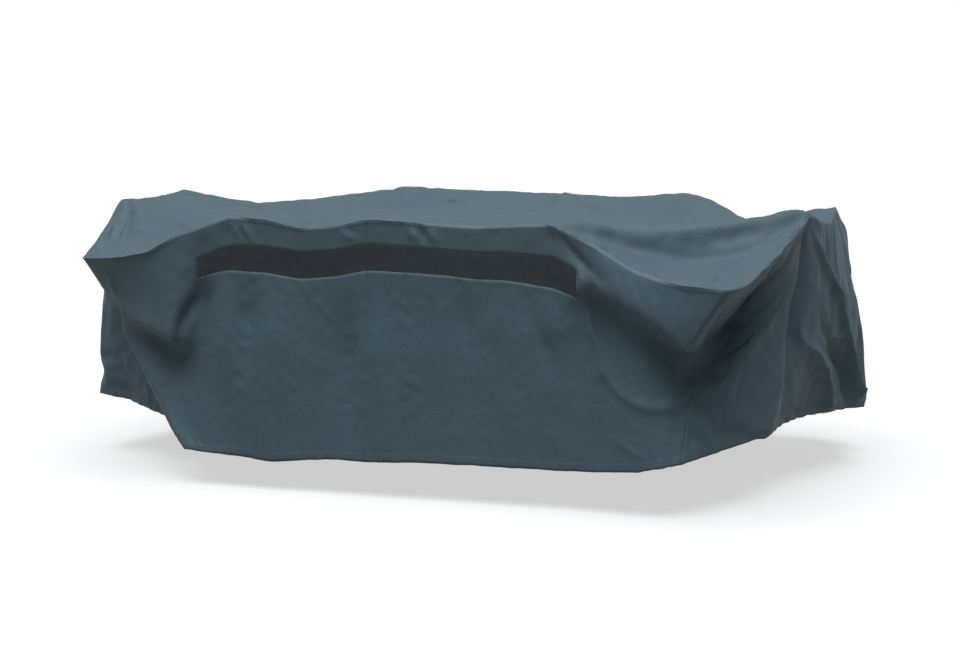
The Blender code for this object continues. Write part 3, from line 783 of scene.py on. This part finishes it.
def cover_mesh():
    cover = whole_cover()
    settle(cover)
    halve(cover)
    cloth = Cloth(cover.data)
    skirt, top = np.nonzero(cloth.on_skirt)[0], np.nonzero(cloth.on_top)[0]
    lay_creases(cloth, SKIRT_CREASES, skirt, cloth.place[skirt], 1)
    lay_creases(cloth, TOP_CREASES, top, cloth.points[top, :2].copy(), -1)
    crinkle(cloth)
    cover.data.vertices.foreach_set("co", cloth.points.ravel())
    for name, values in (("to_seam", cloth.to_seam), ("hem", sheet_hem(cloth))):
        layer = cover.data.attributes.new(name, "FLOAT", "POINT")
        layer.data.foreach_set("value", values.astype(np.float32))
    cover.data.update()
    return cover


def sheet_hem(cloth):
    """Distance of each vertex from the hem, along the cloth; 1 on the top panel."""
    longest = np.interp(cloth.place[:, 0], sheet.along[:-1], sheet.down[-1])
    return np.where(cloth.on_skirt, longest - cloth.place[:, 1], 1.0)


# --- The panels --------------------------------------------------------------------------------
def cut_out(cover, number, panel):
    """The faces of one panel as their own object."""
    mesh = bmesh.new()
    mesh.from_mesh(cover.data)
    others = [face for face in mesh.faces if face.material_index != number]
    bmesh.ops.delete(mesh, geom=others, context="FACES")
    for face in mesh.faces:
        face.material_index = 0
    return in_scene(panel.name, mesh)


def make_net(piece):
    """Turns the vent panel into an open net of flat strands."""
    mesh = bmesh.new()
    mesh.from_mesh(piece.data)
    bmesh.ops.subdivide_edges(mesh, edges=mesh.edges[:], cuts=3, use_grid_fill=True)
    holes = mesh.faces[:]
    bmesh.ops.inset_individual(mesh, faces=holes, thickness=STRAND / 2, use_even_offset=True)
    bmesh.ops.delete(mesh, geom=holes, context="FACES")
    mesh.to_mesh(piece.data)
    mesh.free()


# --- Finishes ------------------------------------------------------------------------------------
class Wire:
    """A value in a finish. Arithmetic on it adds the finish's Math nodes."""

    def __init__(self, finish, socket):
        self.finish, self.socket = finish, socket

    def math(self, operation, *values):
        return self.finish.add("ShaderNodeMath", {"operation": operation}, dict(enumerate(values)))

    def __add__(self, other):
        return self.math("ADD", self, other)

    def __sub__(self, other):
        return self.math("SUBTRACT", self, other)

    def __rsub__(self, other):
        return self.math("SUBTRACT", other, self)

    def __mul__(self, other):
        return self.math("MULTIPLY", self, other)

    def __truediv__(self, other):
        return self.math("DIVIDE", self, other)

    __radd__ = __add__

    def sine(self):
        return self.math("SINE", self)

    def size(self):
        return self.math("ABSOLUTE", self)

    def part(self):
        return self.math("FRACT", self)

    def step(self, low, high):
        """0 below low, 1 above high, and soft between them."""
        inputs = {"Value": self, "From Min": low, "From Max": high}
        return self.finish.add("ShaderNodeMapRange", {"interpolation_type": "SMOOTHSTEP"}, inputs)

    def near(self, centre, reach):
        """1 at centre, falling softly to 0 at reach from it."""
        return 1 - (self - centre).size().step(0.0, reach)


class Finish:
    """A material and its principled shader."""

    def __init__(self, name):
        self.material = bpy.data.materials.new(name)
        self.material.use_nodes = True
        self.tree = self.material.node_tree
        self.shader = next(node for node in self.tree.nodes if node.type == "BSDF_PRINCIPLED")

    def add(self, kind, settings=None, inputs=None, output=0):
        """A node of this kind: its settings come first, then the values or wires of its inputs."""
        node = self.tree.nodes.new(kind)
        for name, value in (settings or {}).items():
            setattr(node, name, value)
        for name, value in (inputs or {}).items():
            self.join(node.inputs[name], value)
        return Wire(self, node.outputs[output])

    def join(self, socket, value):
        if isinstance(value, Wire):
            self.tree.links.new(value.socket, socket)
        else:
            socket.default_value = value

    def noise(self, place, scale, detail=2.0, roughness=0.5):
        inputs = {"Vector": place, "Scale": scale, "Detail": detail, "Roughness": roughness}
        return self.add("ShaderNodeTexNoise", {}, inputs)

    def stretched(self, place, scale):
        return self.add("ShaderNodeVectorMath", {"operation": "MULTIPLY"}, {0: place, 1: scale})

    def mix(self, factor, first, second, blend="MIX"):
        settings = {"data_type": "RGBA", "blend_type": blend, "clamp_factor": True}
        inputs = {"Factor": factor, 6: first, 7: second}
        return self.add("ShaderNodeMix", settings, inputs, output=2)

    def bump(self, height, distance, strength=1.0, after=None):
        inputs = {"Height": height, "Distance": distance, "Strength": strength}
        if after is not None:
            inputs["Normal"] = after
        return self.add("ShaderNodeBump", {}, inputs)

    def attribute(self, name):
        return self.add("ShaderNodeAttribute", {"attribute_name": name}, output="Fac")

    def set(self, **values):
        for name, value in values.items():
            self.join(self.shader.inputs[name.replace("_", " ")], value)


THREAD = 0.0012  # from one thread of the weave to the next
STITCH = 0.0065  # length of a stitch and the gap after it
STITCH_REACH = 0.0011  # how far the dent of a row of stitches reaches from its middle
STITCH_ROWS = (0.0040, 0.0092)  # the two rows beside each seam, from the seam
HEM_STITCHES = 0.0222  # the row above the hem's edge
FELL = (0.010, 0.0135)  # over which the doubled band beside the top seam ends
HEM = (0.024, 0.028)  # over which the turned-in hem ends
SEAM_HIGHLIGHT = 0.0070  # how far the painted highlight along the seam ridge reaches from the seam
FOLDED = (0.46, 0.235)  # sides of the flat packet that the cover was folded to
FOLD_REACH = 0.0035  # how far a fold mark reaches from its middle


def coated_cloth():
    """Coated polyester: weave, slubs, fold marks, puckers, a double-stitched seam and a hem."""
    finish = Finish("coated_cloth")
    place = finish.add("ShaderNodeTexCoord", output="Object")
    flat = finish.add("ShaderNodeUVMap", {"uv_map": "cloth"})
    split = finish.add("ShaderNodeSeparateXYZ", {}, {"Vector": flat}).socket.node
    u, v = Wire(finish, split.outputs[0]), Wire(finish, split.outputs[1])
    to_seam, to_hem = finish.attribute("to_seam"), finish.attribute("hem")

    weave = (u * (math.pi / THREAD)).sine() * (v * (math.pi / THREAD)).sine()
    weft = finish.noise(finish.stretched(flat, (22, 900, 1)), 1.0, 1.0)
    warp = finish.noise(finish.stretched(flat, (900, 22, 1)), 1.0, 1.0)
    slub = weft + warp
    cloudy = finish.noise(place, 2.6, 3.0)
    blotch = finish.noise(place, 11.0, 3.0, 0.6)

    wander = (finish.noise(place, 7.0, 2.0) - 0.5) * 0.016
    marks = []
    for axis, gap in zip((u, v), FOLDED):
        off = ((axis + wander) / gap).part() - 0.5
        marks.append(off.near(0.0, FOLD_REACH / gap))
    broken = finish.noise(place, 16.0, 2.0).step(0.40, 0.60)
    fold_mark = (marks[0] + marks[1]) * broken

    # edge is a painted highlight: the cloth is made paler along the seam ridge, where light catches
    # the rolled seam
    edge = to_seam.near(0.0, SEAM_HIGHLIGHT)
    fell = 1 - to_seam.step(*FELL)
    hem = 1 - to_hem.step(*HEM)
    dash = (u / STITCH).part().near(0.5, 0.36)
    first, second = (to_seam.near(row, STITCH_REACH) for row in STITCH_ROWS)
    stitch = (first + second + to_hem.near(HEM_STITCHES, STITCH_REACH)) * dash
    gather = finish.noise(finish.stretched(flat, (95, 20, 1)), 1.0, 2.0)
    gather = gather * (1 - to_seam.step(0.01, 0.06))

    pucker = finish.noise(place, 26.0, 3.0, 0.55)
    tuck = (finish.noise(place, 9.0, 2.0, 0.5) - 0.5).size()
    fine = finish.noise(place, 90.0, 2.0, 0.6)

    shade = 0.90 + cloudy * 0.14 + (blotch - 0.5) * 0.10 + (slub - 1.0) * 0.09 + weave * 0.03
    # edge * 0.40 lightens the colour beside the seam as a painted highlight
    shade = shade + fold_mark * 0.05 + edge * 0.40 - stitch * 0.10 + to_hem.near(0.0, 0.003) * 0.12
    tint = finish.mix(cloudy, (0.0320, 0.0540, 0.0675, 1), (0.0370, 0.0575, 0.0690, 1))
    shade = finish.add("ShaderNodeCombineColor", {}, {0: shade, 1: shade, 2: shade})
    colour = finish.mix(1.0, tint, shade, "MULTIPLY")

    normal = finish.bump(pucker * 0.5 + tuck * 0.7 + fine * 0.14, 0.006, 0.5)
    sewn = fold_mark * 0.35 + fell * 0.5 + hem * 0.5 + gather * 0.5 - stitch * 0.35
    normal = finish.bump(sewn, 0.0016, 0.9, normal)
    normal = finish.bump(weave * 0.5 + slub * 0.4, 0.00025, 0.6, normal)
    rough = 0.62 + (blotch - 0.5) * 0.16 + (slub - 1.0) * 0.10 + fold_mark * 0.08
    finish.set(Base_Color=colour, Roughness=rough, Normal=normal)
    finish.set(Specular_IOR_Level=0.16, Sheen_Weight=0.06, Sheen_Roughness=0.45, IOR=1.5)
    finish.set(Sheen_Tint=(0.75, 0.86, 1.0, 1))
    return finish.material


def vent_strands():
    """Dull dark coated yarn of the net."""
    finish = Finish("vent_strands")
    place = finish.add("ShaderNodeTexCoord", output="Object")
    cloudy = finish.noise(place, 14.0, 3.0)
    yarn = finish.noise(finish.stretched(place, (900, 900, 900)), 1.0, 2.0)
    colour = finish.mix(cloudy, (0.016, 0.022, 0.030, 1), (0.026, 0.032, 0.042, 1))
    finish.set(Base_Color=colour, Roughness=0.55 + (yarn - 0.5) * 0.2)
    finish.set(Normal=finish.bump(yarn, 0.0002, 0.6))
    return finish.material


FLOOR_GREY, FLOOR_LIGHT, FLOOR_SEEN = 0.17, 0.3, 0.6


def grey(level):
    return (level, level, level, 1)


def pale_floor():
    """The floor glows, more to the camera than as light, so that the shadow on it stays pale."""
    finish = Finish("pale_floor")
    seen = finish.add("ShaderNodeLightPath", output="Is Camera Ray")
    glow = finish.mix(seen, grey(FLOOR_LIGHT), grey(FLOOR_SEEN))
    finish.set(Base_Color=grey(FLOOR_GREY), Roughness=0.9, Specular_IOR_Level=0.0)
    finish.set(Emission_Color=glow, Emission_Strength=1.0)
    return finish.material


cloth_finish, net_finish = coated_cloth(), vent_strands()
cover = cover_mesh()
for number, panel in enumerate(PANELS):
    piece = cut_out(cover, number, panel)
    if number == NET:
        make_net(piece)
        piece.data.materials.append(net_finish)
    else:
        piece.data.materials.append(cloth_finish)
        thick = piece.modifiers.new("thickness", "SOLIDIFY")
        thick.thickness = CLOTH
        thick.offset = -1
    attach(piece, "root")
    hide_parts(panel.node)
bpy.data.objects.remove(cover)


# --- Studio --------------------------------------------------------------------------------------
# Soft suns: the direction each shines from, its strength, how wide its disc is, its colour.
Lamp = namedtuple("Lamp", "name place strength spread colour")
LAMPS = (
    Lamp("overhead", (0.03, -0.25, 1.0), 7.8, 60, (0.95, 0.98, 1.0)),
    Lamp("behind", (0.25, 1.0, 0.60), 0.4, 90, (0.90, 0.96, 1.0)),
)
AROUND = 0.20  # light that comes evenly from all round, where the camera sees white
FLOOR_SIZE = 60
SENSOR, LENS, CLIP_END = 36.0, 88.3, 200  # the first two in millimetres
EYE = (2.971, -7.630, 1.442 + FLOOR)
TILT, ROLL, TURN = 90 - 6.91, 0.22, 21.12


def studio():
    scene = bpy.context.scene
    mesh = bmesh.new()
    bmesh.ops.create_grid(mesh, x_segments=1, y_segments=1, size=FLOOR_SIZE)
    bmesh.ops.translate(mesh, verts=mesh.verts[:], vec=(0, 0, FLOOR))
    floor = in_scene("floor", mesh)
    floor.data.materials.append(pale_floor())
    for lamp in LAMPS:
        light = bpy.data.lights.new(lamp.name, "SUN")
        light.energy, light.color = lamp.strength, lamp.colour
        light.angle = math.radians(lamp.spread)
        made = in_scene(lamp.name, light)
        made.location = Vector(lamp.place) * 5
        made.rotation_euler = (-Vector(lamp.place)).to_track_quat("-Z", "Y").to_euler()
    world = bpy.data.worlds.new("studio")
    world.use_nodes = True
    nodes, links = world.node_tree.nodes, world.node_tree.links
    ray, level = nodes.new("ShaderNodeLightPath"), nodes.new("ShaderNodeMapRange")
    level.inputs["To Min"].default_value, level.inputs["To Max"].default_value = AROUND, 1.0
    links.new(ray.outputs["Is Camera Ray"], level.inputs["Value"])
    links.new(level.outputs[0], nodes["Background"].inputs["Strength"])
    nodes["Background"].inputs["Color"].default_value = (1, 1, 1, 1)
    scene.world = world
    scene.view_settings.view_transform = "Standard"


def camera():
    data = bpy.data.cameras.new("camera")
    data.sensor_width, data.lens, data.clip_end = SENSOR, LENS, CLIP_END
    made = in_scene("camera", data)
    made.location = EYE
    made.rotation_euler = [math.radians(angle) for angle in (TILT, ROLL, TURN)]
    bpy.context.scene.camera = made


studio()
camera()
